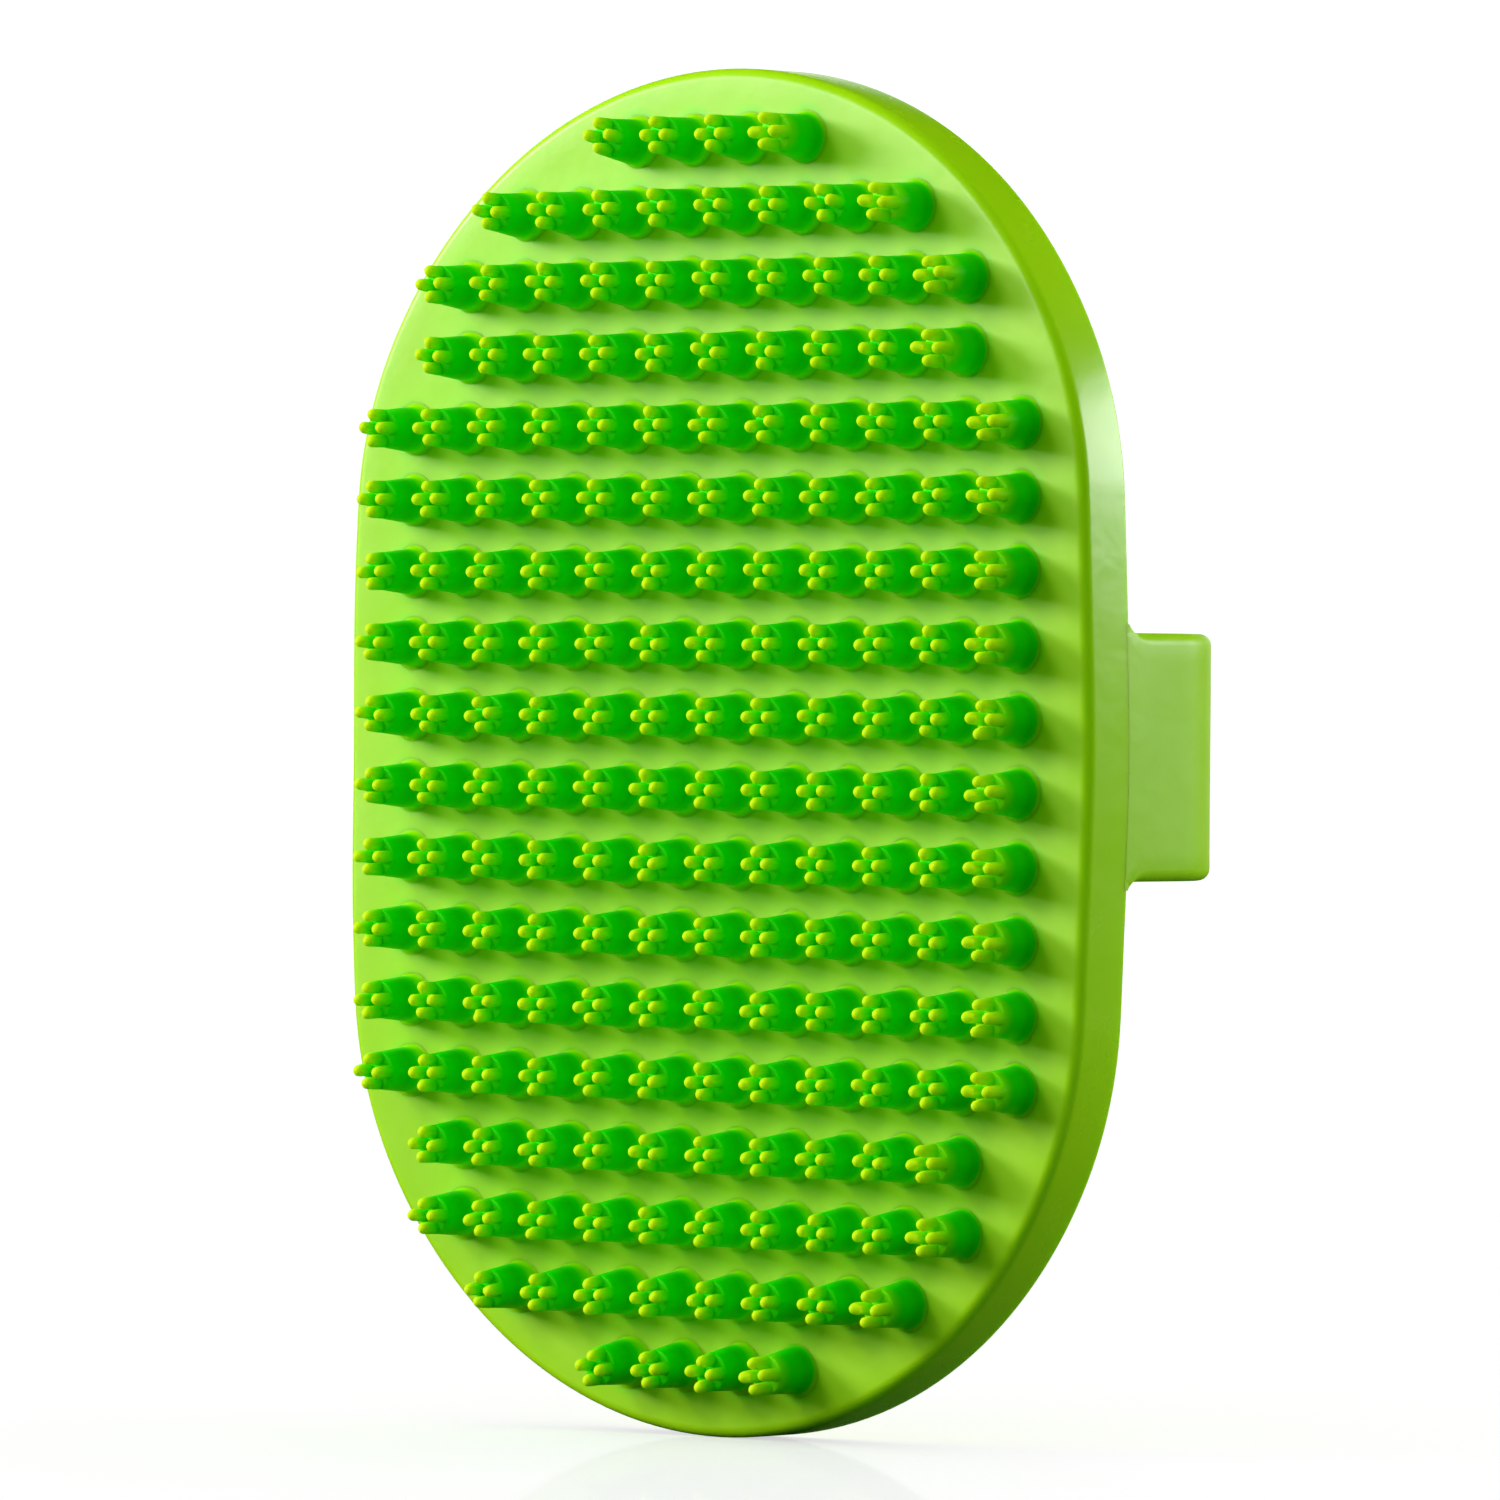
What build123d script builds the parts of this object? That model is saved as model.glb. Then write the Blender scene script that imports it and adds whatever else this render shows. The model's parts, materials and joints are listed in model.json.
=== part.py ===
from build123d import *

import os
from dataclasses import dataclass
from math import asin, cos, degrees, radians, sin

# Rubber curry brush. +Z runs up the pad's length, +X across its width, and the bristles point along -Y.
# The origin is the centre of the pad's back face, where the palm lies. All lengths are in millimetres.

# Pad
PAD_LENGTH = 132.0
PAD_WIDTH = 93.0
PAD_THICKNESS = 6.5
SIDE_RADIUS = 460.0
END_RADIUS = 46.6
CORNER_RADIUS = 40.0
FACE_EDGE_RADIUS = 1.1
BACK_EDGE_RADIUS = 0.35

# Bristles, counted row by row from the top
PITCH = 7.0
ROW_COUNTS = (4, 8, 10, 10) + (12,) * 10 + (10, 10, 8, 4)
POST_HEIGHT = 4.5
POST_ROOT_RADIUS = 2.25
POST_TOP_RADIUS = 1.85
POST_FLARE = 0.35
PINS_PER_POST = 4
PIN_RADIUS = 0.65
PIN_OFFSET = 1.18
PIN_LENGTH = 1.95
PIN_SINK = 0.5

# Hand strap: a leg from each side wall, a bend, and a shallow crown over the hand
STRAP_WIDTH = 23.5
STRAP_THICKNESS = 2.5
STRAP_EDGE_RADIUS = 0.8
LEG_LENGTH = 7.8
LEG_INSET = 1.0
LEG_FILLET = 1.0
BEND_RADIUS = 11.5
CROWN_RADIUS = 160.0

# The two halves overlap: the holed half lies outside, the pegged half inside
HALVES_GAP = 0.3
HOLED_TIP_X = -22.5
PEGGED_TIP_X = -8.0
TIP_CORNER_RADIUS = 6.0
HOLE_COUNT = 5
HOLE_PITCH = 7.5
HOLE_RADIUS = 2.6
FIRST_HOLE_X = -15.0
PEGGED_HOLES = (0, 1)
PEG_ROOT_RADIUS = 2.3
PEG_TIP_RADIUS = 1.6
PEG_HEIGHT = 3.5
PEG_SINK = 1.2
PEG_EDGE_RADIUS = 0.7

# Each half turns about a line in the middle of its bend, with room around its rounded end
HINGE_ANGLE = 45.0
HINGE_GAP = 0.3

HALF_WIDTH = PAD_WIDTH / 2
FACE_Y = -PAD_THICKNESS
BEND_CENTRE_X = HALF_WIDTH - BEND_RADIUS


def bend_end(crown_radius):
    """Angle on the bend at which a crown of this outer radius takes over, in degrees from +X."""
    return 90 - degrees(asin(BEND_CENTRE_X / (crown_radius - BEND_RADIUS)))


def rise_to_bend(crown_radius):
    """How far the bend's centre lies behind the crown's centre."""
    return (crown_radius - BEND_RADIUS) * sin(radians(bend_end(crown_radius)))


CROWN_CENTRE_Y = LEG_LENGTH - rise_to_bend(CROWN_RADIUS)


def band(centre, outer_radius, start, end):
    """Flat face one strap thickness wide, just inside an arc from start to end in degrees."""
    outer = CenterArc(centre, outer_radius, start, end - start)
    inner = CenterArc(centre, outer_radius - STRAP_THICKNESS, start, end - start)
    return make_face([outer, inner, Line(outer @ 0, inner @ 0), Line(outer @ 1, inner @ 1)])


@dataclass
class StrapHalf:
    """A strap half on the right-hand side, given by its crown's outer radius and the x of its tip."""

    crown_radius: float
    tip_x: float

    def bend_centre(self):
        return BEND_CENTRE_X, CROWN_CENTRE_Y + rise_to_bend(self.crown_radius)

    def hinge(self):
        """The point in the middle of the bend, at half thickness, that the half turns about."""
        x, y = self.bend_centre()
        reach = BEND_RADIUS - STRAP_THICKNESS / 2
        return x + reach * cos(radians(HINGE_ANGLE)), y + reach * sin(radians(HINGE_ANGLE))

    def on_crown(self, x):
        """Plane on the crown's outer surface at x, facing away from the hand."""
        angle = asin(x / self.crown_radius)
        origin = (x, CROWN_CENTRE_Y + self.crown_radius * cos(angle), 0)
        return Plane(origin, x_dir=(0, 0, 1), z_dir=(sin(angle), cos(angle), 0))

    def root(self):
        """The fixed leg, from its inset in the side wall to just short of the hinge line."""
        centre = self.bend_centre()
        length = centre[1] + LEG_INSET
        leg = Pos(HALF_WIDTH - STRAP_THICKNESS / 2, centre[1] - length / 2)
        room = (STRAP_THICKNESS / 2 + HINGE_GAP) / (BEND_RADIUS - STRAP_THICKNESS / 2)
        section = leg * Rectangle(STRAP_THICKNESS, length)
        section += band(centre, BEND_RADIUS, 0, HINGE_ANGLE - degrees(room))
        return rounded_sides(extrude(section, STRAP_WIDTH, both=True) & root_outline())

    def flap(self):
        """The part that turns, from its rounded hinge end to its tip."""
        centre = self.bend_centre()
        end = bend_end(self.crown_radius)
        section = band(centre, BEND_RADIUS, HINGE_ANGLE, end)
        section += band((0, CROWN_CENTRE_Y), self.crown_radius, end, 180 - end)
        section += Pos(*self.hinge()) * Circle(STRAP_THICKNESS / 2)
        return rounded_sides(extrude(section, STRAP_WIDTH, both=True) & self.flap_outline())

    def flap_outline(self):
        """Prism that cuts the crown off at a tip with round corners."""
        length = PAD_WIDTH
        outline = Pos(self.tip_x + length / 2, 0) * Rectangle(length, STRAP_WIDTH)
        tip_corners = outline.vertices().sort_by(Axis.X)[:2]
        outline = fillet(tip_corners, TIP_CORNER_RADIUS)
        return extrude(Plane.XZ * outline, PAD_WIDTH, both=True)


def root_outline():
    """Prism with a strap root's outline as seen from the side, flared where it leaves the wall."""
    flared = STRAP_WIDTH / 2 + LEG_FILLET
    edge = Polyline((LEG_FILLET, STRAP_WIDTH / 2), (PAD_WIDTH, STRAP_WIDTH / 2), (PAD_WIDTH, 0))
    base = Polyline((PAD_WIDTH, 0), (-LEG_INSET, 0), (-LEG_INSET, flared), (0, flared))
    flare = RadiusArc(base @ 1, edge @ 0, LEG_FILLET)
    half = Plane.YZ * make_face([edge, base, flare])
    return extrude(half + mirror(half, Plane.XY), PAD_WIDTH, both=True)


def rounded_sides(solid):
    """Rounds a strap piece's long edges, all around its free outline."""
    sides = solid.faces().filter_by(Axis.Z)
    long_edges = [e for side in sides for e in side.edges() if e.length > 1.1 * STRAP_THICKNESS]
    return fillet(long_edges, STRAP_EDGE_RADIUS)


def to_left(shape):
    return mirror(shape, Plane.YZ)


def pad_outline():
    """Oval with barely curved sides, nearly round ends and a slightly tighter arc in between."""
    side = Circle(SIDE_RADIUS)
    reach = SIDE_RADIUS - HALF_WIDTH
    outline = SlotOverall(PAD_LENGTH, 2 * END_RADIUS, rotation=90)
    outline = outline & Pos(reach, 0) * side & Pos(-reach, 0) * side
    return fillet(outline.vertices(), CORNER_RADIUS)


def pad(strap_roots):
    """The oval plate, with the two strap roots let into its side walls."""
    plate = extrude(Plane.XZ * pad_outline(), PAD_THICKNESS)
    plate = fillet(plate.faces().sort_by(Axis.Y)[0].edges(), FACE_EDGE_RADIUS)
    plate = fillet(plate.faces().sort_by(Axis.Y)[-1].edges(), BACK_EDGE_RADIUS)
    return plate - strap_roots


def bristle():
    """One bristle standing on the XY plane: a flared, tapered post with round-ended pins on top."""
    outline = Polyline(
        (POST_ROOT_RADIUS, POST_FLARE),
        (POST_TOP_RADIUS, POST_HEIGHT),
        (0, POST_HEIGHT),
        (0, 0),
        (POST_ROOT_RADIUS + POST_FLARE, 0),
    )
    flare = RadiusArc(outline @ 1, outline @ 0, POST_FLARE)
    post = revolve(Plane.XZ * make_face([outline, flare]), Axis.Z)
    shank = PIN_SINK + PIN_LENGTH - PIN_RADIUS
    pin = Pos(0, 0, shank / 2) * Cylinder(PIN_RADIUS, shank) + Pos(0, 0, shank) * Sphere(PIN_RADIUS)
    places = PolarLocations(PIN_OFFSET, PINS_PER_POST)
    return post + [Pos(0, 0, POST_HEIGHT - PIN_SINK) * place * pin for place in places]


def bristle_rows():
    """Each row's name and its separate bristles, from the top row down."""
    one = Plane((0, FACE_Y, 0), x_dir=(1, 0, 0), z_dir=(0, -1, 0)) * bristle()
    top = (len(ROW_COUNTS) - 1) / 2 * PITCH
    for index, count in enumerate(ROW_COUNTS):
        places = GridLocations(PITCH, PITCH, count, 1)
        turned = [Pos(place.position.X, 0, top - index * PITCH) for place in places]
        yield f"bristle_row_{index + 1:02d}", Compound([(at * one).solid() for at in turned])


def hole_x(index):
    return FIRST_HOLE_X + index * HOLE_PITCH


def drills(half):
    """Cutters for the adjusting holes, square to the crown."""
    places = [half.on_crown(hole_x(index)) for index in range(HOLE_COUNT)]
    return [place * Cylinder(HOLE_RADIUS, 3 * STRAP_THICKNESS) for place in places]


def peg():
    """A tapered peg with a rounded tip and a stub that goes into the strap below it."""
    cone = Pos(0, 0, PEG_HEIGHT / 2) * Cone(PEG_ROOT_RADIUS, PEG_TIP_RADIUS, PEG_HEIGHT)
    cone = fillet(cone.edges().sort_by(Axis.Z)[-1], PEG_EDGE_RADIUS)
    return cone + Pos(0, 0, -PEG_SINK / 2) * Cylinder(PEG_ROOT_RADIUS, PEG_SINK)


def main():
    holed = StrapHalf(CROWN_RADIUS, HOLED_TIP_X)
    pegged = StrapHalf(CROWN_RADIUS - STRAP_THICKNESS - HALVES_GAP, PEGGED_TIP_X)
    root_right = holed.root()
    root_left = to_left(pegged.root())
    pegs = [pegged.on_crown(hole_x(index)) * peg() for index in PEGGED_HOLES]
    nodes = {
        "pad": pad([root_right, root_left]),
        "strap_root_right": root_right,
        "strap_root_left": root_left,
        "strap_half_holed": holed.flap() - drills(holed),
        "strap_half_pegged": to_left(pegged.flap()) - pegs,
        "strap_pegs": Compound([one.solid() for one in pegs]),
        **dict(bristle_rows()),
    }
    os.makedirs("parts", exist_ok=True)
    for name, shape in nodes.items():
        export_step(shape, f"parts/{name}.step")
    for name, half, side in (("holed", holed, 1), ("pegged", pegged, -1)):
        x, y = half.hinge()
        print(f"hinge line of the {name} half: x {side * x:.3f}, y {y:.3f}")


main()
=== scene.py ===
"""Looks of the rubber curry brush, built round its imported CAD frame. All lengths are in metres.

The frame's +Z runs up the pad's length, +X across its width, and the bristles point along -Y.
"""

import json
from math import acos, atan2, ceil, cos, hypot, pi, radians, sin

import bpy
import numpy as np
from mathutils import Matrix, Vector, noise
from mathutils.geometry import delaunay_2d_cdt

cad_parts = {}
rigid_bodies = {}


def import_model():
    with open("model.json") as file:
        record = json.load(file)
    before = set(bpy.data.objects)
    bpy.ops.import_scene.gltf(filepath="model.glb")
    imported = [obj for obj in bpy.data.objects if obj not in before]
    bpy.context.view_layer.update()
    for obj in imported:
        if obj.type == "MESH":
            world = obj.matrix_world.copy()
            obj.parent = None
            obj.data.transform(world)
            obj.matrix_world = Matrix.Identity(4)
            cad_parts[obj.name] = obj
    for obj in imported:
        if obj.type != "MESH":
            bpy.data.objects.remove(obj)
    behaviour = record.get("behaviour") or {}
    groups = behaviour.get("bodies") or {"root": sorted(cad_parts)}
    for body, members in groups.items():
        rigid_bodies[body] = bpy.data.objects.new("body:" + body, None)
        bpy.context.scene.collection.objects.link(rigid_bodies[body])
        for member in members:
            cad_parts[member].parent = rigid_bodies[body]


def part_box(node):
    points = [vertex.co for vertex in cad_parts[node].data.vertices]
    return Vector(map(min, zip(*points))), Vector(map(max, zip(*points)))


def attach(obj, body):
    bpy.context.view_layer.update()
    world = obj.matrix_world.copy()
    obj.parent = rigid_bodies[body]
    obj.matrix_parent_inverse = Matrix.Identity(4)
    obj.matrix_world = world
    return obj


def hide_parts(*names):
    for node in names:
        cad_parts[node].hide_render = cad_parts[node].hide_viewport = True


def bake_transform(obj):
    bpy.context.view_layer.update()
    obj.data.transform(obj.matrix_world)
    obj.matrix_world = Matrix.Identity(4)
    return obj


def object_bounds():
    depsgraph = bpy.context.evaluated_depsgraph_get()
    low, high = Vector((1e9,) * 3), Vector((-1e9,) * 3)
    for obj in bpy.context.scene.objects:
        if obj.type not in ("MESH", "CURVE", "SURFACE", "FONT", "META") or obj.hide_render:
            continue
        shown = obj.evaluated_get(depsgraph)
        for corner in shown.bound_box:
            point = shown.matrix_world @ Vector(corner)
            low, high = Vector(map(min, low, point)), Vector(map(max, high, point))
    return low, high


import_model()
cad_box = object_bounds()

MM = 0.001
SEED = 11

# Pad, with its size from the frame
pad_low, pad_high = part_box("pad")
HALF_WIDTH = pad_high.x
HALF_LENGTH = pad_high.z
FACE_Y = pad_low.y
SIDE_RADIUS = 460.0 * MM
END_RADIUS = 46.6 * MM
CORNER_RADIUS = 40.0 * MM
FACE_EDGE_RADIUS = 1.1 * MM
BACK_EDGE_RADIUS = 0.35 * MM
FILLET_STEPS = 7
FLAT_STEPS = 22
SIDE_STEPS, CORNER_STEPS, END_STEPS = 16, 12, 32

# The soft pad is bowed a little: its sides curl towards the bristles and its ends away from them
SIDE_CURL = 0.763
END_CURL = 0.448
STRAP_PULL = 0.45 * MM
STRAP_PULL_WIDTH = 13.0 * MM
LUMP_DEPTH = 0.03 * MM
LUMP_SIZE = 14.0 * MM

# Bristles, counted row by row from the top
PITCH = 7.0 * MM
ROW_COUNTS = (4, 8, 10, 10) + (12,) * 10 + (10, 10, 8, 4)
LAST_COLUMN_X = (max(ROW_COUNTS) - 1) / 2 * PITCH
TOP_ROW_Z = (len(ROW_COUNTS) - 1) / 2 * PITCH
POST_HEIGHT = 4.5 * MM
POST_ROOT_RADIUS = 2.25 * MM
POST_TOP_RADIUS = 1.85 * MM
POST_FLARE = 0.45 * MM
POST_RIM_RADIUS = 0.16 * MM
POST_SINK = 0.4 * MM
PIN_ANGLES = (0, 90, 180, 270)
PIN_ROOT_RADIUS = 0.66 * MM
PIN_TIP_RADIUS = 0.59 * MM
PIN_OFFSET = 1.22 * MM
PIN_LENGTH = 1.95 * MM
PIN_SINK = 0.35 * MM
PIN_SIDE = 0.6 * PIN_OFFSET
BRISTLE_HEIGHT = POST_HEIGHT + PIN_LENGTH
POST_SEGMENTS = 36
PIN_SEGMENTS = 14

# The outermost bristles lean by these amounts across and up. All are twisted at random, in degrees,
# and their pins lean at random, each alone and all four together
EDGE_LEAN = (0.35 * MM, 0.5 * MM)
TWIST_SPREAD = 3.5
TWIST_HASTE = 1.2
PIN_SPREAD = 0.07 * MM
CLUSTER_SPREAD = 0.04 * MM

# The last bristle of each row has pins that lean more, and its painted glow of light through the rubber
# reaches further down its post
LAST_LEAN = 0.45 * MM
LAST_PAINTED_GLOW = 0.45

# Strap
STRAP_WIDTH = 23.5 * MM
STRAP_THICKNESS = 2.5 * MM
STRAP_EDGE_RADIUS = 1.15 * MM
STRAP_GRID = 1.2 * MM
STRAP_GRID_CLEARANCE = 0.7 * STRAP_GRID
ROUNDING_START = 2.6 * MM
LEG_LENGTH = 7.8 * MM
LEG_SINK = 3.0 * MM
LEG_FLARE = 0.8 * MM
LEG_FLARE_LENGTH = 2.3 * MM
LEG_BLEND = 6.0 * MM
FOOT_LENGTH = 1.4 * MM
FOOT_EXTRA = 0.4
STRAP_PROUD = 0.02 * MM
ROOT_DROP = 0.12 * MM
BEND_RADIUS = 11.5 * MM
CROWN_RADIUS = 160.0 * MM
HALVES_GAP = 0.3 * MM
TIP_CORNER_RADIUS = 6.0 * MM
HOLE_RADIUS = 2.6 * MM
HOLE_EDGE_RADIUS = 0.35 * MM
HOLE_XS = [x * MM for x in (-15.0, -7.5, 0.0, 7.5, 15.0)]
PEG_ROOT_RADIUS = 2.3 * MM
PEG_TIP_RADIUS = 1.6 * MM
PEG_HEIGHT = 3.5 * MM
PEG_SINK = 0.5 * MM
PEG_FLARE = 0.25 * MM
PEG_FLARE_SINK = 0.02 * MM
PEG_EDGE_RADIUS = 0.7 * MM
PEG_SEGMENTS = 36

# What delaunay_2d_cdt gives back, and the distance within which it merges points
INSIDE_ONLY = 1
SAME_POINT = 1e-9

rng = np.random.default_rng(SEED)


def new_piece(name, points, faces, sharp_angle=40):
    mesh = bpy.data.meshes.new(name)
    mesh.from_pydata([tuple(p) for p in points], [], [tuple(f) for f in faces])
    mesh.validate()
    mesh.shade_smooth()
    mesh.set_sharp_from_angle(angle=radians(sharp_angle))
    piece = bpy.data.objects.new(name, mesh)
    bpy.context.scene.collection.objects.link(piece)
    return piece


def finish_piece(piece, slot, material, *nodes):
    piece.data.materials.append(material)
    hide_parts(*nodes)


def smoothstep(value):
    value = np.clip(value, 0, 1)
    return value * value * (3 - 2 * value)


def quarter_turn(steps):
    """Angles from 0 to a quarter turn, both included."""
    return [pi / 2 * n / steps for n in range(steps + 1)]


# ---------------------------------------------------------------- pad


def arc(centre, radius, start, end, steps):
    """Points from start to end, in radians, leaving out the last one."""
    angles = start + (end - start) * np.arange(steps) / steps
    return [(centre[0] + radius * cos(a), centre[1] + radius * sin(a)) for a in angles]


def oval(inset):
    """(x, z) all round the pad's outline, moved inwards by inset, from +X towards +Z."""
    side = np.array((HALF_WIDTH - SIDE_RADIUS, 0))
    end = np.array((0, HALF_LENGTH - END_RADIUS))
    apart = hypot(*(end - side))
    along = (end - side) / apart
    from_side = SIDE_RADIUS - CORNER_RADIUS
    from_end = END_RADIUS - CORNER_RADIUS
    reach = (apart**2 + from_side**2 - from_end**2) / (2 * apart)
    rise = (from_side**2 - reach**2) ** 0.5
    corner = side + reach * along + rise * np.array((-along[1], along[0]))
    turn_1 = atan2(*(corner - side)[::-1])
    turn_2 = atan2(*(corner - end)[::-1])
    quarter = arc(side, SIDE_RADIUS - inset, 0, turn_1, SIDE_STEPS)
    quarter += arc(corner, CORNER_RADIUS - inset, turn_1, turn_2, CORNER_STEPS)
    quarter += arc(end, END_RADIUS - inset, turn_2, pi / 2, END_STEPS)
    top = (0.0, HALF_LENGTH - inset)
    right = quarter + [top]
    half = right + [(-x, z) for x, z in reversed(quarter)]
    return half + [(x, -z) for x, z in reversed(half[1:-1])]


def lift(x, z):
    """How far the pad's bow moves a point along Y."""
    saddle = END_CURL * z * z / 2 - SIDE_CURL * x * x / 2
    pull = STRAP_PULL * np.exp(-((z / STRAP_PULL_WIDTH) ** 2)) * (np.abs(x) / HALF_WIDTH) ** 6
    return saddle + pull


def lump(x, y, z):
    """Shallow unevenness of the moulded rubber."""
    return LUMP_DEPTH * noise.noise(Vector((x, y, z)) / LUMP_SIZE)


def pad_rings():
    """The pad's section from the middle of its back to the middle of its face, as (inset, y, share)."""
    inner = [1 - n / FLAT_STEPS for n in range(1, FLAT_STEPS)]
    back = [(BACK_EDGE_RADIUS, 0.0, share) for share in reversed(inner)]
    face = [(FACE_EDGE_RADIUS, FACE_Y, share) for share in inner]
    edge = []
    for turn in quarter_turn(FILLET_STEPS):
        edge.append((BACK_EDGE_RADIUS * (1 - sin(turn)), -BACK_EDGE_RADIUS * (1 - cos(turn)), 1))
    for turn in quarter_turn(FILLET_STEPS):
        y = FACE_Y + FACE_EDGE_RADIUS * (1 - sin(turn))
        edge.append((FACE_EDGE_RADIUS * (1 - cos(turn)), y, 1))
    return back + edge + face


def polish(inset, share):
    """1 on the side wall, falling to 0 across the rounded edges."""
    return max(0.0, 1 - inset / FACE_EDGE_RADIUS) if share == 1 else 0.0


def make_pad():
    spine = HALF_LENGTH - END_RADIUS
    points = []
    rings = pad_rings()
    for inset, y, share in rings:
        for x, z in oval(inset):
            mid_z = min(max(z, -spine), spine)
            x, z = x * share, mid_z + (z - mid_z) * share
            points.append((x, y + lift(x, z) + lump(x, y, z), z))
    count = len(points) // len(rings)
    faces = []
    for ring in range(len(rings) - 1):
        for n in range(count):
            a, b = ring * count + n, ring * count + (n + 1) % count
            faces.append((a, b, b + count, a + count))
    faces += middle_strip(0, count, flip=True)
    faces += middle_strip((len(rings) - 1) * count, count, flip=False)
    pad = new_piece("pad_skin", points, faces, sharp_angle=50)
    wall = pad.data.attributes.new("wall", "FLOAT", "POINT")
    wall.data.foreach_set("value", np.repeat([polish(inset, share) for inset, _, share in rings], count))
    return pad


def middle_strip(first, count, flip):
    """Faces that close the innermost ring, from its right side across to its left."""
    faces = []
    quarter = count // 4
    for n in range(-quarter, quarter):
        corners = [n, n + 1, count // 2 - n - 1, count // 2 - n]
        ring = list(dict.fromkeys(first + c % count for c in corners))
        faces.append(ring[::-1] if flip else ring)
    return faces


# ---------------------------------------------------------------- bristles


def lathe(profile, segments):
    """Points and faces of a (radius, height) profile turned about Z, closed where the radius is 0."""
    points, rings, faces = [], [], []
    for radius, height in profile:
        if radius == 0:
            rings.append([len(points)])
            points.append((0, 0, height))
            continue
        rings.append([len(points) + n for n in range(segments)])
        turns = [2 * pi * n / segments for n in range(segments)]
        points += [(radius * cos(t), radius * sin(t), height) for t in turns]
    for low, high in zip(rings, rings[1:]):
        for n in range(segments):
            m = (n + 1) % segments
            quad = [low[n % len(low)], low[m % len(low)], high[m % len(high)], high[n % len(high)]]
            faces.append(list(dict.fromkeys(quad)))
    return points, faces


def post_profile():
    rows = [(0, -POST_SINK), (POST_ROOT_RADIUS + POST_FLARE, -POST_SINK)]
    for turn in quarter_turn(4):
        spread = POST_FLARE * (1 - sin(turn))
        rows.append((POST_ROOT_RADIUS + spread, POST_FLARE * (1 - cos(turn))))
    for share in (0.35, 0.7):
        height = POST_FLARE + (POST_HEIGHT - POST_FLARE) * share
        rows.append((POST_ROOT_RADIUS + (POST_TOP_RADIUS - POST_ROOT_RADIUS) * share, height))
    for turn in quarter_turn(3):
        inset = POST_RIM_RADIUS * (1 - cos(turn))
        rows.append((POST_TOP_RADIUS - inset, POST_HEIGHT - POST_RIM_RADIUS * (1 - sin(turn))))
    return rows + [(0, POST_HEIGHT)]


def pin_profile():
    rows = [(0, -PIN_SINK), (PIN_ROOT_RADIUS, -PIN_SINK), (PIN_ROOT_RADIUS, 0)]
    shank = PIN_LENGTH - PIN_TIP_RADIUS
    rows.append(((PIN_ROOT_RADIUS + PIN_TIP_RADIUS) / 2, shank / 2))
    for turn in quarter_turn(4)[:-1]:
        rows.append((PIN_TIP_RADIUS * cos(turn), shank + PIN_TIP_RADIUS * sin(turn)))
    return rows + [(0, PIN_LENGTH)]


def joined(name, body, others):
    """Points and faces of one closed skin round the body and the others, as arrays."""
    piece = new_piece(name, *body)
    for n, other in enumerate(others):
        tool = new_piece(f"{name}_{n}", *other)
        union = piece.modifiers.new("union", "BOOLEAN")
        union.operation = "UNION"
        union.solver = "EXACT"
        union.object = tool
    evaluated = piece.evaluated_get(bpy.context.evaluated_depsgraph_get())
    mesh = evaluated.to_mesh()
    points = np.array([v.co for v in mesh.vertices])
    faces = [tuple(p.vertices) for p in mesh.polygons]
    evaluated.to_mesh_clear()
    for n in range(len(others)):
        bpy.data.objects.remove(bpy.data.objects[f"{name}_{n}"])
    bpy.data.objects.remove(piece)
    return points, faces


def master_bristle():
    """One upright bristle: a post with its four pins, standing on Z = 0."""
    post = lathe(post_profile(), POST_SEGMENTS)
    pins = []
    for angle in PIN_ANGLES:
        points, faces = lathe(pin_profile(), PIN_SEGMENTS)
        x, y = PIN_OFFSET * cos(radians(angle)), PIN_OFFSET * sin(radians(angle))
        pins.append(([(px + x, py + y, pz + POST_HEIGHT) for px, py, pz in points], faces))
    return joined("master", post, pins)


def bent(points, lean, twist, pin_leans):
    """The bristle with its root pulled inwards by the lean, its top turned and each pin off line."""
    rise = np.clip(points[:, 2] / BRISTLE_HEIGHT, 0, 1)
    turn = twist * smoothstep(rise * TWIST_HASTE)
    x = points[:, 0] * np.cos(turn) - points[:, 1] * np.sin(turn)
    z = points[:, 0] * np.sin(turn) + points[:, 1] * np.cos(turn)
    x -= lean[0] * (1 - rise)
    z -= lean[1] * (1 - rise)
    above = np.clip((points[:, 2] - POST_HEIGHT) / PIN_LENGTH, 0, 1)
    for angle, (dx, dz) in zip(PIN_ANGLES, pin_leans):
        facing = points[:, 0] * cos(radians(angle)) + points[:, 1] * sin(radians(angle))
        mine = above * (facing > PIN_SIDE)
        x += dx * mine
        z += dz * mine
    return x, points[:, 2], z


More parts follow.
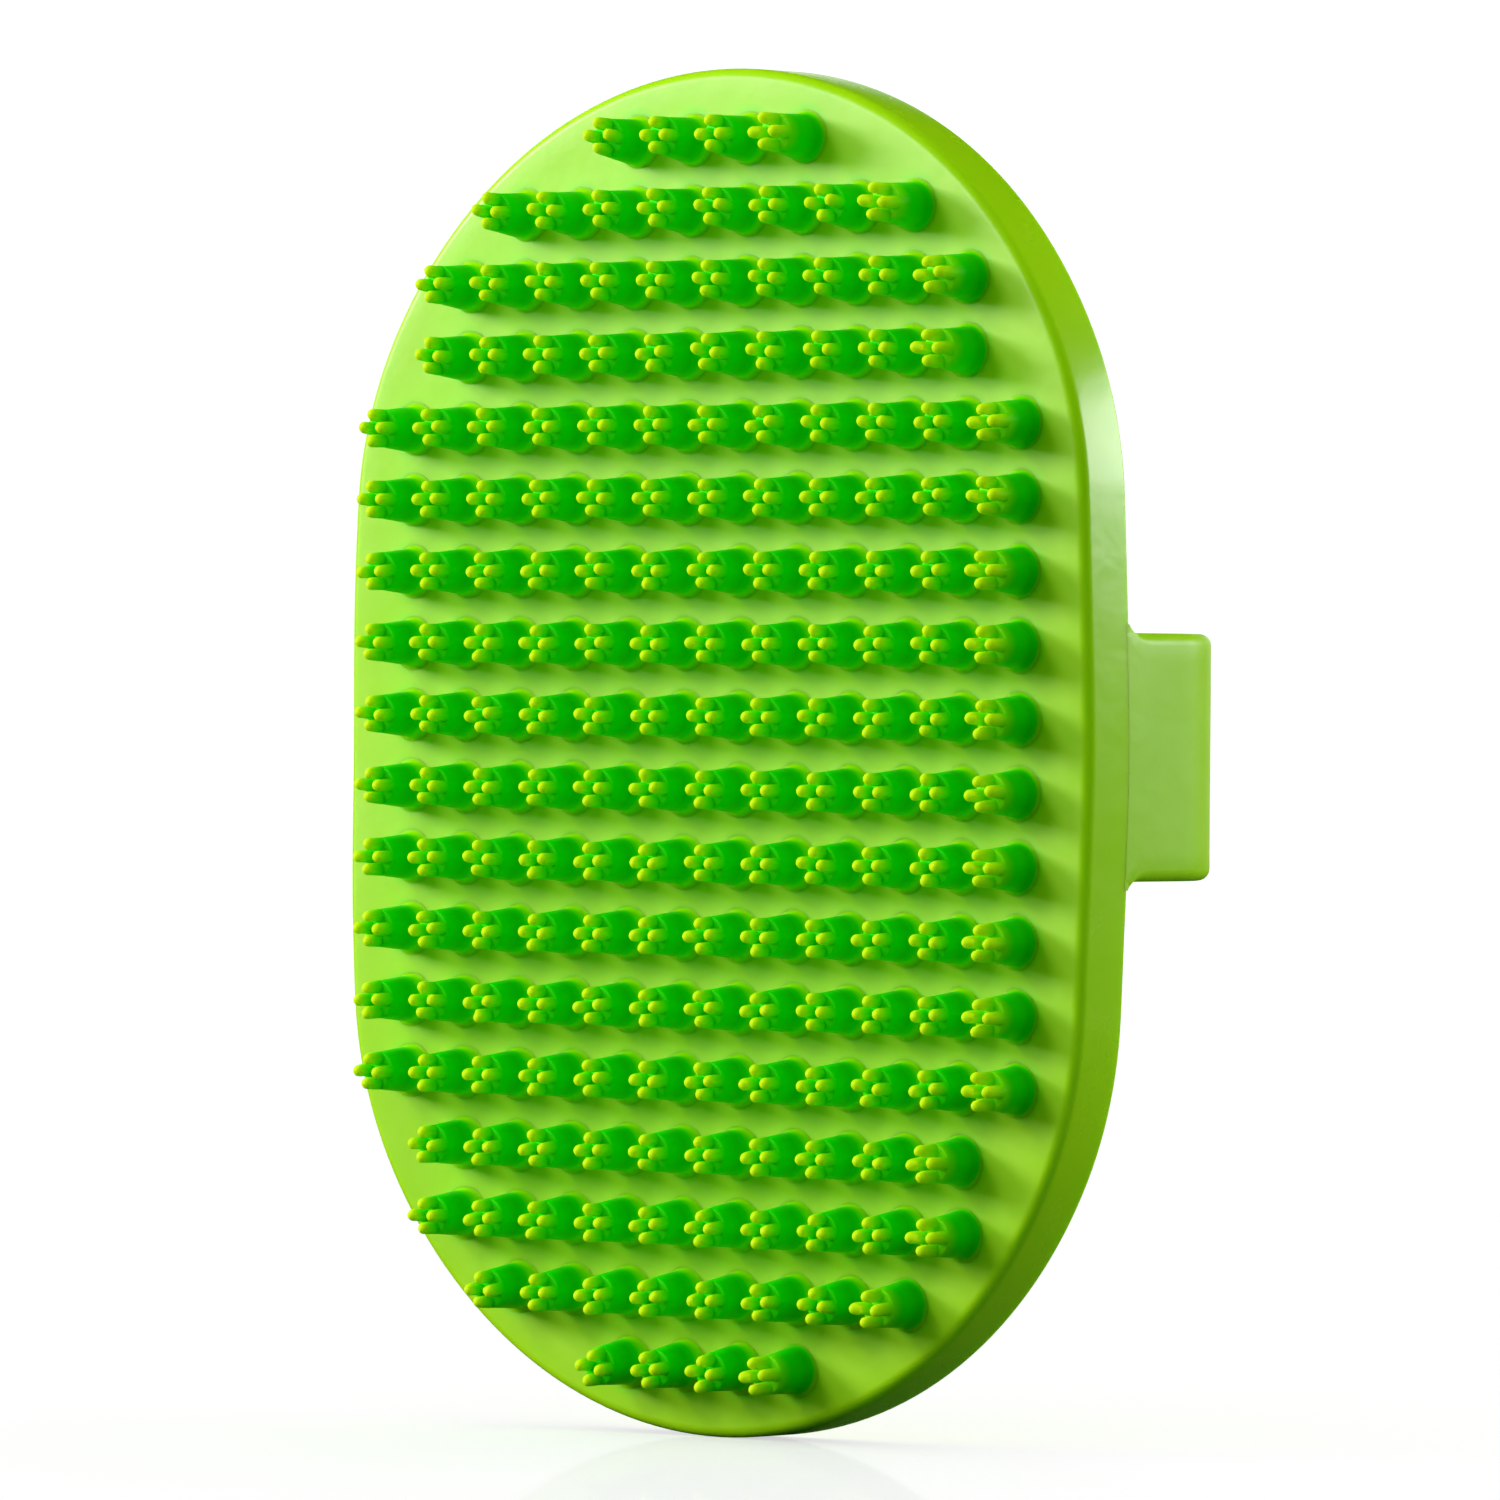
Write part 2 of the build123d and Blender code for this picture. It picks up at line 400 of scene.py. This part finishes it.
def make_rows(material):
    """One piece for each row, with each point's height on its bristle as the attribute "rise", pushed up
    on the last bristle of each row so that its painted glow reaches further down.
    """
    master, faces = master_bristle()
    height = np.clip(master[:, 2] / BRISTLE_HEIGHT, 0, 1)
    for index, count in enumerate(ROW_COUNTS):
        points, polygons, rises = [], [], []
        row_z = TOP_ROW_Z - index * PITCH
        for n in range(count):
            row_x = (n - (count - 1) / 2) * PITCH
            lean_x = EDGE_LEAN[0] * (row_x / LAST_COLUMN_X) ** 3
            lean_z = EDGE_LEAN[1] * (row_z / TOP_ROW_Z) ** 3
            last = float(n == count - 1)
            twist = radians(rng.normal(0, TWIST_SPREAD))
            pin_leans = rng.normal(0, PIN_SPREAD, (4, 2)) + rng.normal(0, CLUSTER_SPREAD, 2)
            pin_leans[:, 0] -= last * LAST_LEAN
            x, up, z = bent(master, (lean_x, lean_z), twist, pin_leans)
            y = FACE_Y - up + lift(row_x - lean_x, row_z - lean_z)
            first = sum(len(p) for p in points)
            # Painted light: the last bristle's heights are pushed up, so the ramp's painted glow reaches
            # further down its post
            rises.append(height ** (1 - last * LAST_PAINTED_GLOW))
            points.append(np.stack((x + row_x, y, z + row_z), axis=1))
            polygons += [tuple(first + v for v in face) for face in faces]
        name = f"{index + 1:02d}"
        row = new_piece(f"bristles_{name}", np.concatenate(points), polygons)
        rise = row.data.attributes.new("rise", "FLOAT", "POINT")
        rise.data.foreach_set("value", np.concatenate(rises).astype(np.float32))
        finish_piece(row, "bristle_rubber", material, f"bristle_row_{name}")
        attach(row, "brush_pad")


# ---------------------------------------------------------------- strap


class StrapPath:
    """The outer surface of one strap half: a leg, a bend and a crown, with the pad's back at 0."""

    def __init__(self, crown_radius, side):
        self.side = side
        self.crown_radius = crown_radius
        bend_x = HALF_WIDTH - BEND_RADIUS
        reach = CROWN_RADIUS - BEND_RADIUS
        self.crown_y = LEG_LENGTH - (reach**2 - bend_x**2) ** 0.5
        self.turn = acos(bend_x / (crown_radius - BEND_RADIUS))
        self.bend = (bend_x, self.crown_y + (crown_radius - BEND_RADIUS) * sin(self.turn))
        self.bend_end = self.bend[1] + BEND_RADIUS * self.turn

    def at_crown(self, x):
        """Distance along the strap at which its crown passes x, seen as a right-hand strap."""
        return self.bend_end + self.crown_radius * (acos(x / self.crown_radius) - self.turn)

    def place(self, along, across, depth):
        """The point this far along and across the strap, and this deep below its outer surface."""
        bend_x, bend_y = self.bend
        if along < bend_y:
            x, y = HALF_WIDTH - depth, along
        elif along < self.bend_end:
            turn = (along - bend_y) / BEND_RADIUS
            x = bend_x + (BEND_RADIUS - depth) * cos(turn)
            y = bend_y + (BEND_RADIUS - depth) * sin(turn)
        else:
            turn = self.turn + (along - self.bend_end) / self.crown_radius
            x = (self.crown_radius - depth) * cos(turn)
            y = self.crown_y + (self.crown_radius - depth) * sin(turn)
        near_pad = float(1 - smoothstep(along / LEG_BLEND))
        x -= near_pad * across * across / (2 * SIDE_RADIUS)
        y += near_pad * lift(HALF_WIDTH, across)
        return self.side * x, y, across

    def bend_points(self):
        """The two ends of the bend on its outer surface."""
        return self.place(self.bend[1], 0, 0), self.place(self.bend_end, 0, 0)


def strap_outline(tip):
    """(along, across) all round a strap half that ends at tip, flared at the pad, with round corners."""
    half = STRAP_WIDTH / 2
    edge = [(-LEG_SINK, half + LEG_FLARE), (-LEG_SINK / 2, half + LEG_FLARE)]
    for turn in quarter_turn(8):
        edge.append((LEG_FLARE_LENGTH * (1 - cos(turn)), half + LEG_FLARE * (1 - sin(turn))))
    straight = tip - TIP_CORNER_RADIUS
    even = straight - LEG_FLARE_LENGTH
    steps = ceil(even / MM)
    edge += [(LEG_FLARE_LENGTH + even * n / steps, half) for n in range(1, steps)]
    corner_steps, tip_steps, root_steps = 12, 12, 20
    edge += arc((straight, half - TIP_CORNER_RADIUS), TIP_CORNER_RADIUS, pi / 2, 0, corner_steps)
    edge.append((tip, half - TIP_CORNER_RADIUS))
    span = 2 * (half - TIP_CORNER_RADIUS)
    end = [(tip, half - TIP_CORNER_RADIUS - span * n / tip_steps) for n in range(1, tip_steps)]
    back = [(a, -c) for a, c in reversed(edge)]
    span = 2 * (half + LEG_FLARE)
    root = [(-LEG_SINK, -half - LEG_FLARE + span * n / root_steps) for n in range(1, root_steps)]
    return edge + end + back + root


def moved_in(loop, inset):
    """A clockwise loop, moved inwards along its own normals, but not where it is inside the pad."""
    loop = np.array(loop)
    before = loop - np.roll(loop, 1, axis=0)
    after = np.roll(loop, -1, axis=0) - loop
    before /= np.linalg.norm(before, axis=1)[:, None]
    after /= np.linalg.norm(after, axis=1)[:, None]
    tangent = before + after
    tangent /= np.linalg.norm(tangent, axis=1)[:, None]
    normal = np.stack((tangent[:, 1], -tangent[:, 0]), axis=1)
    stretch = np.clip((tangent * after).sum(axis=1), 0.5, 1)
    share = smoothstep(loop[:, 0] / ROUNDING_START)
    return loop + normal * (inset * share / stretch)[:, None]


def circle(centre, radius, steps=40):
    turns = [2 * pi * n / steps for n in range(steps)]
    return [(centre + radius * cos(t), radius * sin(t)) for t in turns]


def rounded_section(radius, thickness):
    """(inset, depth) across a rounded edge, from the outer surface to the inner one."""
    outer = [(radius * (1 - sin(t)), radius * (1 - cos(t))) for t in quarter_turn(5)]
    return outer + [(inset, thickness - depth) for inset, depth in reversed(outer)]


def strap_sheet(path, tip, hole_xs):
    """Points and faces of a closed strap half with rounded edges and round holes."""
    outline = strap_outline(tip)
    flat, faces, rims = [], [], []
    for loop in [outline] + [circle(path.at_crown(x), HOLE_RADIUS) for x in hole_xs]:
        cut = loop is not outline
        section = rounded_section(HOLE_EDGE_RADIUS if cut else STRAP_EDGE_RADIUS, STRAP_THICKNESS)
        first, count = len(flat), len(loop)
        for inset, depth in section:
            ring = scaled_out(loop, inset) if cut else moved_in(loop, inset)
            flat += [(a, c, depth) for a, c in ring]
        for row in range(len(section) - 1):
            for n in range(count):
                a, b = first + row * count + n, first + row * count + (n + 1) % count
                faces.append((a + count, b + count, b, a))
        rims.append((first, first + (len(section) - 1) * count, count))
    spots = grid_inside([np.array(flat[first:first + count])[:, :2] for first, _, count in rims])
    faces += filled(flat, [(first, count) for first, _, count in rims], spots, 1)
    faces += filled(flat, [(last, count) for _, last, count in rims], spots, -1)
    return flat, faces


def scaled_out(loop, amount):
    """A circular loop, made larger in radius by amount."""
    loop = np.array(loop)
    centre = loop.mean(axis=0)
    return centre + (loop - centre) * (HOLE_RADIUS + amount) / HOLE_RADIUS


def within(loop, spot):
    """Whether a spot lies inside a closed loop."""
    before, after = loop, np.roll(loop, -1, axis=0)
    spans = (before[:, 1] > spot[1]) != (after[:, 1] > spot[1])
    a, b = before[spans], after[spans]
    crossing = a[:, 0] + (spot[1] - a[:, 1]) / (b[:, 1] - a[:, 1]) * (b[:, 0] - a[:, 0])
    return (crossing > spot[0]).sum() % 2 == 1


def grid_inside(loops):
    """A square grid of spots inside the first loop and outside the others, clear of all their points."""
    low, high = loops[0].min(axis=0), loops[0].max(axis=0)
    counts = np.ceil((high - low) / STRAP_GRID).astype(int)
    steps = [np.linspace(low[k], high[k], counts[k] + 1)[1:-1] for k in (0, 1)]
    rim = np.concatenate(loops)
    spots = []
    for spot in ((a, c) for a in steps[0] for c in steps[1]):
        clear = np.linalg.norm(rim - spot, axis=1).min() > STRAP_GRID_CLEARANCE
        if clear and within(loops[0], spot) and not any(within(hole, spot) for hole in loops[1:]):
            spots.append(spot)
    return spots


def filled(flat, rims, spots, sense):
    """Triangles of one flat side between its rim loops, with the spots added inside."""
    indices, edges = [], []
    for first, count in rims:
        base = len(indices)
        indices += range(first, first + count)
        edges += [(base + n, base + (n + 1) % count) for n in range(count)]
    depth = flat[indices[0]][2]
    indices += range(len(flat), len(flat) + len(spots))
    flat += [(a, c, depth) for a, c in spots]
    coords = [Vector(flat[i][:2]) for i in indices]
    found, _, triangles, origins = delaunay_2d_cdt(coords, edges, [], INSIDE_ONLY, SAME_POINT)[:4]
    holes = [np.array(flat[first:first + count])[:, :2] for first, count in rims[1:]]
    faces = []
    for triangle in triangles:
        centre = sum((found[v] for v in triangle), Vector((0, 0))) / 3
        if not any(within(hole, centre) for hole in holes):
            faces.append([indices[origins[v][0]] for v in triangle][::-sense])
    return faces


def make_strap(name, path, tip_x, hole_xs, body, material, *nodes):
    """A strap half, a hair proud of the pad's wall, with its root sinking below the wall's surface."""
    flat, faces = strap_sheet(path, path.at_crown(tip_x), hole_xs)
    points = []
    for along, across, depth in flat:
        root = min(max(-along / LEG_SINK, 0), 1)
        foot = max(0.0, 1 - max(along, 0) / FOOT_LENGTH) ** 2
        outer = ROOT_DROP * root - STRAP_PROUD
        points.append(path.place(along, across, outer + depth * (1 + FOOT_EXTRA * foot)))
    if path.side > 0:
        faces = [face[::-1] for face in faces]
    strap = new_piece(name, points, faces, sharp_angle=60)
    finish_piece(strap, "strap_rubber", material, *nodes)
    path.bend_points()
    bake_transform(strap)


def make_pegs(path, material):
    """The two pegs on the inner half, which button into the first two holes."""
    rows = [(0, -PEG_SINK), (PEG_ROOT_RADIUS, -PEG_SINK)]
    for turn in quarter_turn(4):
        spread = PEG_FLARE * (1 - sin(turn))
        rows.append((PEG_ROOT_RADIUS + spread, PEG_FLARE * (1 - cos(turn)) - PEG_FLARE_SINK))
    for turn in quarter_turn(6):
        inset = PEG_EDGE_RADIUS * (1 - cos(turn))
        rows.append((PEG_TIP_RADIUS - inset, PEG_HEIGHT - PEG_EDGE_RADIUS * (1 - sin(turn))))
    rows.append((0, PEG_HEIGHT))
    up = Vector((0, 0, 1))
    points, faces = [], []
    for x in HOLE_XS[:2]:
        turn = acos(-x / path.crown_radius)
        out = Vector((-cos(turn), sin(turn), 0))
        foot = Vector((0, path.crown_y, 0)) + out * path.crown_radius
        side = up.cross(out)
        peg_points, peg_faces = lathe(rows, PEG_SEGMENTS)
        first = len(points)
        points += [foot + side * px + up * py + out * pz for px, py, pz in peg_points]
        faces += [[first + v for v in face] for face in peg_faces]
    pegs = new_piece("pegs", points, faces, sharp_angle=50)
    finish_piece(pegs, "strap_rubber", material, "strap_pegs")
    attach(pegs, "pegged_half")


# ---------------------------------------------------------------- materials


class Nodes:
    """A material's node tree, with short ways to add and join nodes."""

    def __init__(self, name):
        self.material = bpy.data.materials.new(name)
        self.material.use_nodes = True
        self.tree = self.material.node_tree
        self.shader = self.tree.nodes["Principled BSDF"]
        self.place = self.add("ShaderNodeTexCoord").outputs["Object"]

    def add(self, kind, **values):
        node = self.tree.nodes.new(kind)
        for name, value in values.items():
            if name in node.inputs:
                node.inputs[name].default_value = value
            else:
                setattr(node, name, value)
        return node

    def join(self, output, target):
        self.tree.links.new(output, target)

    def noise(self, scale, detail=2.0, roughness=0.5):
        node = self.add("ShaderNodeTexNoise", Scale=scale, Detail=detail, Roughness=roughness)
        self.join(self.place, node.inputs["Vector"])
        return node.outputs["Fac"]

    def ramp(self, factor, *stops, interpolation="LINEAR"):
        node = self.add("ShaderNodeValToRGB")
        node.color_ramp.interpolation = interpolation
        elements = node.color_ramp.elements
        while len(elements) < len(stops):
            elements.new(0.5)
        for element, (position, colour) in zip(elements, stops):
            element.position = position
            element.color = (*colour, 1)
        self.join(factor, node.inputs["Fac"])
        return node.outputs["Color"]

    def math(self, operation, *values):
        """A maths node on these values, each an output or a number."""
        node = self.add("ShaderNodeMath", operation=operation)
        for value, socket in zip(values, node.inputs):
            if hasattr(value, "links"):
                self.join(value, socket)
            else:
                socket.default_value = value
        return node.outputs["Value"]

    def ranged(self, value, low, high, source=(0.3, 0.7)):
        """The value, with the source range stretched to run from low to high."""
        node = self.add("ShaderNodeMapRange")
        node.inputs["From Min"].default_value, node.inputs["From Max"].default_value = source
        node.inputs["To Min"].default_value = low
        node.inputs["To Max"].default_value = high
        self.join(value, node.inputs["Value"])
        return node.outputs["Result"]

    def painted(self, base, colour, mask):
        """The base, with another colour where the mask is 1."""
        node = self.add("ShaderNodeMix", data_type="RGBA")
        self.join(mask, node.inputs[MIX_FACTOR])
        self.join(base, node.inputs[MIX_A])
        node.inputs[MIX_B].default_value = (*colour, 1)
        return node.outputs[MIX_RESULT]

    def bump(self, height, distance, normal=None):
        node = self.add("ShaderNodeBump", Distance=distance)
        self.join(height, node.inputs["Height"])
        if normal:
            self.join(normal, node.inputs["Normal"])
        return node.outputs["Normal"]

    def uneven(self):
        """The normal of moulded rubber: a fine grain on shallow waves."""
        waves = self.bump(self.noise(260, detail=3), WAVE_DEPTH)
        return self.bump(self.noise(3500, detail=2), GRAIN_DEPTH, normal=waves)

    def set(self, **values):
        for name, value in values.items():
            self.shader.inputs[name.replace("_", " ")].default_value = value

    def translucent(self, depth):
        """Lets light into the rubber, to these depths in red, green and blue, in millimetres."""
        self.set(Subsurface_Weight=1.0, Subsurface_Scale=MM, Subsurface_Radius=depth)

    def drive(self, socket, output):
        self.join(output, self.shader.inputs[socket])


# Sockets of a colour Mix node, several of which share a name
MIX_FACTOR, MIX_A, MIX_B, MIX_RESULT = 0, 6, 7, 2

PAD_LIGHT = (0.46, 0.79, 0.006)
PAD_DEEP = (0.41, 0.75, 0.003)
PAD_CLOUD = ((0.3, PAD_DEEP), (0.7, PAD_LIGHT))
# Painted shade: a greener ring on the face round each bristle root, for the green shade that light
# through the rubber gives there, with its inner and outer radius and the depth in Y where it starts
PAD_SHADE_NEAR_BRISTLE = (0.30, 0.80, 0.0)
SHADE_RING = (2.4 * MM, 3.2 * MM)
SHADE_RING_START_Y = 0.6 * FACE_Y
WALL_POLISH = 0.62
WAVE_DEPTH = 0.06 * MM
GRAIN_DEPTH = 0.004 * MM
# The rubber's greens up each bristle from root to tip, with painted light and shade: a lighter collar on
# the root flare, painted shade low on the post, and a painted glow of light through the rubber at the
# pins' tips
BRISTLE_GREENS_AND_PAINTED_LIGHT = (
    (0.00, (0.36, 0.92, 0.0)),
    (0.07, (0.26, 0.88, 0.0)),
    (0.20, (0.004, 0.72, 0.0)),
    (0.34, (0.002, 0.62, 0.0)),
    (0.60, (0.004, 0.78, 0.0)),
    (0.66, (0.004, 0.78, 0.0)),
    (0.71, (0.04, 0.80, 0.0)),
    (0.83, (0.22, 0.86, 0.0)),
    (0.96, (0.60, 0.95, 0.006)),
)

# How far light goes into each rubber in red, green and blue, in millimetres
PAD_DEPTH = (1.0, 1.05, 0.1)
BRISTLE_DEPTH = (0.8, 0.85, 0.1)
STRAP_DEPTH = (0.4, 0.4, 0.1)


def shade_near_bristle(nodes):
    """1 at the root of each bristle, falling to 0 a little way out, and 0 where none stand: where the
    painted shade lies round each root.
    """
    split = nodes.add("ShaderNodeSeparateXYZ")
    nodes.join(nodes.place, split.inputs["Vector"])
    squares, spans = [], []
    for axis in ("X", "Z"):
        cell = nodes.math("FRACT", nodes.math("DIVIDE", split.outputs[axis], PITCH))
        offset = nodes.math("MULTIPLY", nodes.math("SUBTRACT", cell, 0.5), PITCH)
        squares.append(nodes.math("POWER", offset, 2.0))
        spans.append(nodes.math("ABSOLUTE", split.outputs[axis]))
    reach = nodes.math("SQRT", nodes.math("ADD", *squares))
    shade_falloff = nodes.ranged(reach, 1.0, 0.0, SHADE_RING)
    planted = nodes.math("LESS_THAN", spans[0], row_reach(nodes, spans[1]))
    on_face = nodes.math("LESS_THAN", split.outputs["Y"], SHADE_RING_START_Y)
    return nodes.math("MULTIPLY", shade_falloff, nodes.math("MULTIPLY", planted, on_face))


def row_reach(nodes, height):
    """How far bristles stand from the middle of the row at this height, up or down."""
    middle = len(ROW_COUNTS) // 2
    steps = [(0, ROW_COUNTS[middle])]
    for index in range(1, middle):
        if ROW_COUNTS[middle + index] != steps[-1][1]:
            steps.append((index, ROW_COUNTS[middle + index]))
    steps.append((middle, 0))
    stops = [(index / (middle + 1), (count / 2 / middle,) * 3) for index, count in steps]
    share = nodes.math("DIVIDE", height, (middle + 1) * PITCH)
    return nodes.math("MULTIPLY", nodes.ramp(share, *stops, interpolation="CONSTANT"), middle * PITCH)


def pad_rubber():
    nodes = Nodes("pad_rubber")
    cloud = nodes.ramp(nodes.noise(55, detail=4), *PAD_CLOUD)
    # Painted shade: a greener ring round each bristle root, over the rubber's random tone
    nodes.drive("Base Color", nodes.painted(cloud, PAD_SHADE_NEAR_BRISTLE, shade_near_bristle(nodes)))
    grain = nodes.ranged(nodes.noise(160, detail=5, roughness=0.6), 0.38, 0.46)
    wall = nodes.add("ShaderNodeAttribute", attribute_name="wall").outputs["Fac"]
    polish = nodes.ranged(wall, 1.0, WALL_POLISH, (0, 1))
    nodes.drive("Roughness", nodes.math("MULTIPLY", grain, polish))
    nodes.drive("Normal", nodes.uneven())
    nodes.set(Specular_IOR_Level=0.5)
    nodes.translucent(PAD_DEPTH)
    return nodes.material


def bristle_rubber():
    nodes = Nodes("bristle_rubber")
    rise = nodes.add("ShaderNodeAttribute", attribute_name="rise").outputs["Fac"]
    # Base colour from the ramp: the rubber's greens with painted shade low on each post and a painted
    # glow at the collar and tips
    nodes.drive("Base Color", nodes.ramp(rise, *BRISTLE_GREENS_AND_PAINTED_LIGHT))
    nodes.drive("Roughness", nodes.ranged(nodes.noise(900, detail=3), 0.36, 0.46))
    nodes.drive("Normal", nodes.bump(nodes.noise(3500, detail=2), GRAIN_DEPTH))
    nodes.set(Specular_IOR_Level=0.07)
    nodes.translucent(BRISTLE_DEPTH)
    return nodes.material


def strap_rubber():
    nodes = Nodes("strap_rubber")
    nodes.drive("Base Color", nodes.ramp(nodes.noise(70, detail=4), *PAD_CLOUD))
    nodes.drive("Roughness", nodes.ranged(nodes.noise(160, detail=5, roughness=0.6), 0.38, 0.5))
    nodes.drive("Normal", nodes.uneven())
    nodes.set(Specular_IOR_Level=0.5)
    nodes.translucent(STRAP_DEPTH)
    return nodes.material


# ---------------------------------------------------------------- stage, light and camera


WHITE = (1, 1, 1)
BOUNCE = (0.39, 0.51, 0.30)
FLOOR_REACH = 3.0
FLOOR_SHADE = 0.34
FLOOR_BOUNCE = (0.14, 0.25, 0.08)
FLOOR_GLOSS = 0.12
FLOOR_GLOSS_ROUGHNESS = 0.05
BACKDROP_DISTANCE = 2.6
BACKDROP_WIDTH = 3.0
BACKDROP_HEIGHT = 1.0
BACKDROP_STRENGTH = 1.05

# Each softbox's name, azimuth and elevation in degrees, distance, size and radiance
SOFTBOXES = (
    ("key", 27, 25, 1.3, (0.45, 0.4), 9.5),
    ("sheen", 56, 17, 1.3, (0.5, 0.3), 25.0),
    ("back_right", -142, 15, 0.81, (0.5, 0.25), 8.5),
)
SPARED = "away_from_softboxes"

# A long lens, level with the brush, on the right of its bristle side
CAMERA_AZIMUTH = radians(39.85)
CAMERA_ELEVATION = radians(0.28)
CAMERA_ROLL = radians(0.425)
CAMERA_DISTANCE = 1.16
CAMERA_TARGET = Vector((0, -0.8, 0.3)) * MM
CAMERA_SENSOR = 36.0
CAMERA_LENS = 288.0
CAMERA_NEAREST = 0.01


def seen(tree, low, high):
    """A value that is high for what the camera sees directly and low for light that bounces."""
    path = tree.nodes.new("ShaderNodeLightPath")
    level = tree.nodes.new("ShaderNodeMapRange")
    level.inputs["To Min"].default_value = low
    level.inputs["To Max"].default_value = high
    tree.links.new(path.outputs["Is Camera Ray"], level.inputs["Value"])
    return level.outputs["Result"]


def new_sheet(name, corners, material):
    mesh = bpy.data.meshes.new(name)
    mesh.from_pydata([tuple(c) for c in corners], [], [(0, 1, 2, 3)])
    mesh.materials.append(material)
    sheet = bpy.data.objects.new(name, mesh)
    bpy.context.scene.collection.objects.link(sheet)
    return sheet


def make_floor():
    """A pale floor, seen as white, that bounces little light up and that the softboxes leave out."""
    reach, z = FLOOR_REACH, cad_box[0].z
    corners = [(-reach, -reach, z), (reach, -reach, z), (reach, reach, z), (-reach, reach, z)]
    nodes = Nodes("floor_white")
    shade = seen(nodes.tree, 0, 1)
    lit_white = [FLOOR_SHADE / level for level in BOUNCE]
    nodes.drive("Base Color", nodes.ramp(shade, (0, FLOOR_BOUNCE), (1, lit_white)))
    nodes.drive("Emission Strength", seen(nodes.tree, 0, 1 - FLOOR_SHADE))
    nodes.drive("Coat Weight", seen(nodes.tree, 0, FLOOR_GLOSS))
    nodes.set(Emission_Color=(*WHITE, 1), Specular_IOR_Level=0.0, Coat_Roughness=FLOOR_GLOSS_ROUGHNESS)
    floor = new_sheet("floor", corners, nodes.material)
    spared = bpy.data.collections.new(SPARED)
    spared.objects.link(floor)
    spared.collection_objects[0].light_linking.link_state = "EXCLUDE"


def make_backdrop():
    """A white sheet far behind the brush, which the floor's faint gloss mirrors."""
    away = Vector((-sin(CAMERA_AZIMUTH), cos(CAMERA_AZIMUTH), 0))
    side = Vector((away.y, -away.x, 0)) * (BACKDROP_WIDTH / 2)
    foot = away * BACKDROP_DISTANCE + Vector((0, 0, cad_box[0].z))
    top = foot + Vector((0, 0, BACKDROP_HEIGHT))
    nodes = Nodes("backdrop_white")
    nodes.set(Base_Color=(0, 0, 0, 1), Emission_Color=(*WHITE, 1), Emission_Strength=BACKDROP_STRENGTH)
    corners = [foot - side, foot + side, top + side, top - side]
    backdrop = new_sheet("backdrop", corners, nodes.material)


def make_world():
    """White to the camera, dimmer and green-tinted to light that bounces, unseen in gloss."""
    world = bpy.data.worlds.new("studio")
    bpy.context.scene.world = world
    world.use_nodes = True
    background = world.node_tree.nodes["Background"]
    tint = world.node_tree.nodes.new("ShaderNodeMix")
    tint.data_type = "RGBA"
    tint.inputs[MIX_A].default_value = (*BOUNCE, 1)
    tint.inputs[MIX_B].default_value = (*WHITE, 1)
    world.node_tree.links.new(seen(world.node_tree, 0, 1), tint.inputs[MIX_FACTOR])
    world.node_tree.links.new(tint.outputs[MIX_RESULT], background.inputs["Color"])
    world.cycles_visibility.glossy = False


def aimed(azimuth, elevation, distance):
    """The place at this distance, with azimuth in degrees from the bristles' side towards -X."""
    turn, rise = radians(azimuth), radians(elevation)
    return Vector((-sin(turn) * cos(rise), -cos(turn) * cos(rise), sin(rise))) * distance


def make_lights():
    for name, azimuth, elevation, distance, size, radiance in SOFTBOXES:
        light = bpy.data.lights.new(name, "AREA")
        light.shape = "RECTANGLE"
        light.size, light.size_y = size
        light.energy = radiance * pi * size[0] * size[1]
        place = aimed(azimuth, elevation, distance)
        box = bpy.data.objects.new(name, light)
        box.location = place
        box.rotation_mode = "QUATERNION"
        box.rotation_quaternion = (-place).to_track_quat("-Z", "Y")
        box.light_linking.receiver_collection = bpy.data.collections[SPARED]
        bpy.context.scene.collection.objects.link(box)


def make_camera():
    turn, rise = CAMERA_AZIMUTH, CAMERA_ELEVATION
    back = Vector((sin(turn) * cos(rise), -cos(turn) * cos(rise), sin(rise)))
    camera = bpy.data.objects.new("camera", bpy.data.cameras.new("camera"))
    camera.data.sensor_width = CAMERA_SENSOR
    camera.data.lens = CAMERA_LENS
    camera.data.clip_start = CAMERA_NEAREST
    camera.location = CAMERA_TARGET + back * CAMERA_DISTANCE
    camera.rotation_mode = "QUATERNION"
    roll = Matrix.Rotation(CAMERA_ROLL, 3, back).to_quaternion()
    camera.rotation_quaternion = roll @ (-back).to_track_quat("-Z", "Y")
    bpy.context.scene.collection.objects.link(camera)
    bpy.context.scene.camera = camera


def main():
    pad = make_pad()
    finish_piece(pad, "pad_rubber", pad_rubber(), "pad")
    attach(pad, "brush_pad")
    make_rows(bristle_rubber())
    strap_material = strap_rubber()
    holed = StrapPath(CROWN_RADIUS, 1)
    pegged = StrapPath(CROWN_RADIUS - STRAP_THICKNESS - HALVES_GAP, -1)
    tip_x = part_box("strap_half_holed")[0].x
    make_strap("strap_right", holed, tip_x, HOLE_XS, "holed_half", strap_material,
               "strap_root_right", "strap_half_holed")
    tip_x = -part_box("strap_half_pegged")[1].x
    make_strap("strap_left", pegged, tip_x, [], "pegged_half", strap_material,
               "strap_root_left", "strap_half_pegged")
    make_pegs(pegged, strap_material)
    make_floor()
    make_backdrop()
    make_world()
    make_lights()
    make_camera()
    scene = bpy.context.scene
    scene.view_settings.view_transform = "Standard"
    scene.cycles.use_denoising = True


main()
